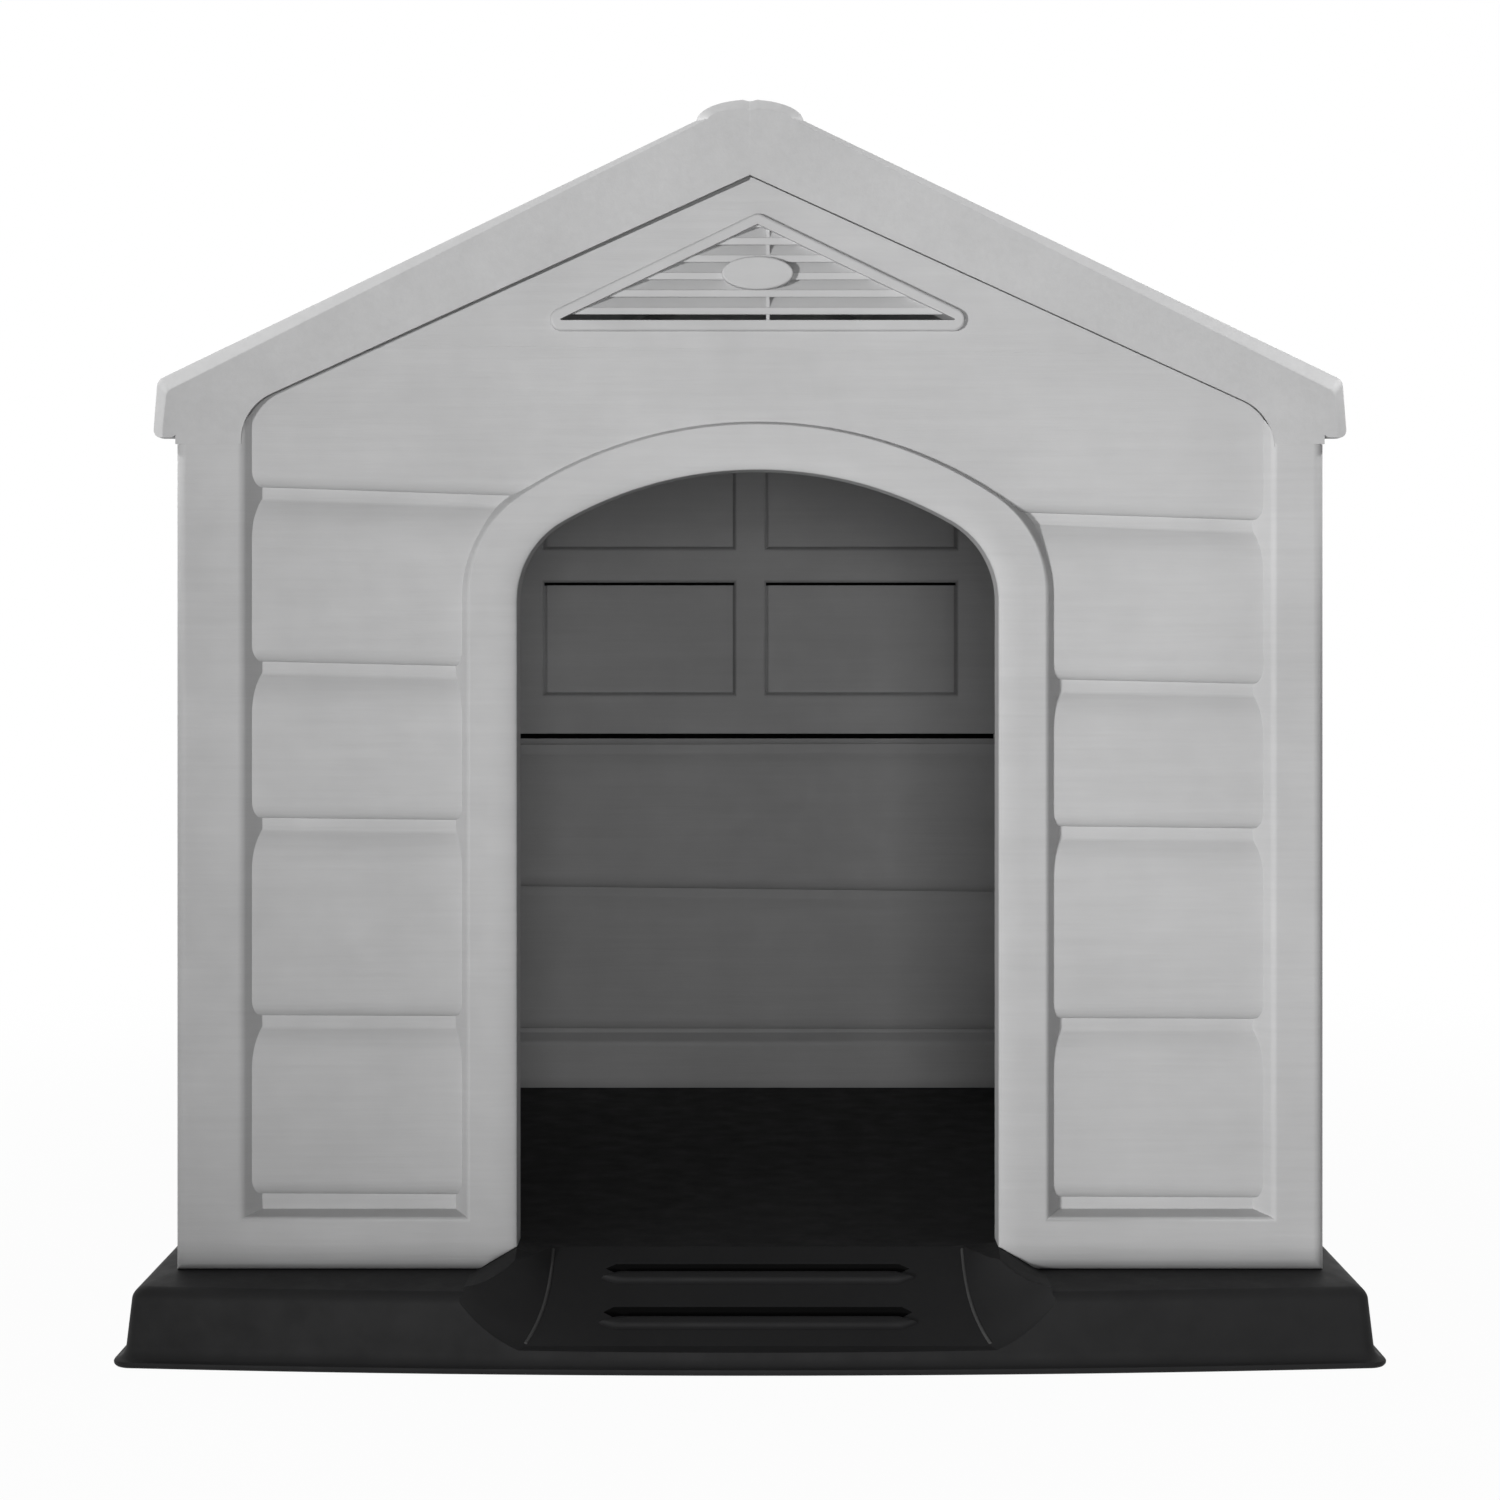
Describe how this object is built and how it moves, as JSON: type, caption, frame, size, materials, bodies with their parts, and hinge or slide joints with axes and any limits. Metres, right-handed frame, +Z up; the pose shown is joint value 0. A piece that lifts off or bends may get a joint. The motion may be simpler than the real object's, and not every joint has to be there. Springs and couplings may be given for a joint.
{
  "type": "dog house",
  "caption": "Panel-built plastic dog house with an arched doorway, a ramp in its base, lapped-board walls, louvred gable vents and a lift-off pitched roof.",
  "frame": {"origin": "middle of the footprint, on the ground under the base", "axes": "+Z up, -Y out through the doorway, +X to the right seen from the front"},
  "size_m": [0.97, 0.95, 0.9747],
  "materials": {
    "grey_plastic": "blow-moulded light grey plastic with a fine wood grain",
    "black_plastic": "blow-moulded black plastic with a soft sheen",
    "fixing_plastic": "dark moulded plastic fixings"
  },
  "bodies": {
    "house": {"base": "black_plastic", "front_wall": "grey_plastic", "back_wall": "grey_plastic", "left_wall": "grey_plastic", "right_wall": "grey_plastic", "front_vent": "grey_plastic", "back_vent": "grey_plastic", "front_left_bracket": "black_plastic", "front_left_screw_a_low": "fixing_plastic", "front_left_screw_a_high": "fixing_plastic", "front_left_screw_b_low": "fixing_plastic", "front_left_screw_b_high": "fixing_plastic", "front_right_bracket": "black_plastic", "front_right_screw_a_low": "fixing_plastic", "front_right_screw_a_high": "fixing_plastic", "front_right_screw_b_low": "fixing_plastic", "front_right_screw_b_high": "fixing_plastic", "back_right_bracket": "black_plastic", "back_right_screw_a_low": "fixing_plastic", "back_right_screw_a_high": "fixing_plastic", "back_right_screw_b_low": "fixing_plastic", "back_right_screw_b_high": "fixing_plastic", "back_left_bracket": "black_plastic", "back_left_screw_a_low": "fixing_plastic", "back_left_screw_a_high": "fixing_plastic", "back_left_screw_b_low": "fixing_plastic", "back_left_screw_b_high": "fixing_plastic"},
    "roof": {"roof_left": "grey_plastic", "roof_right": "grey_plastic", "ridge_bolt_1": "fixing_plastic", "ridge_bolt_2": "fixing_plastic", "ridge_bolt_3": "fixing_plastic", "ridge_nut_1": "fixing_plastic", "ridge_nut_2": "fixing_plastic", "ridge_nut_3": "fixing_plastic"}
  },
  "joints": [
    {"name": "roof_lift", "type": "slide", "parent": "house", "child": "roof", "axis": [0, 0, 1], "range_m": [0, 0.3]}
  ]
}
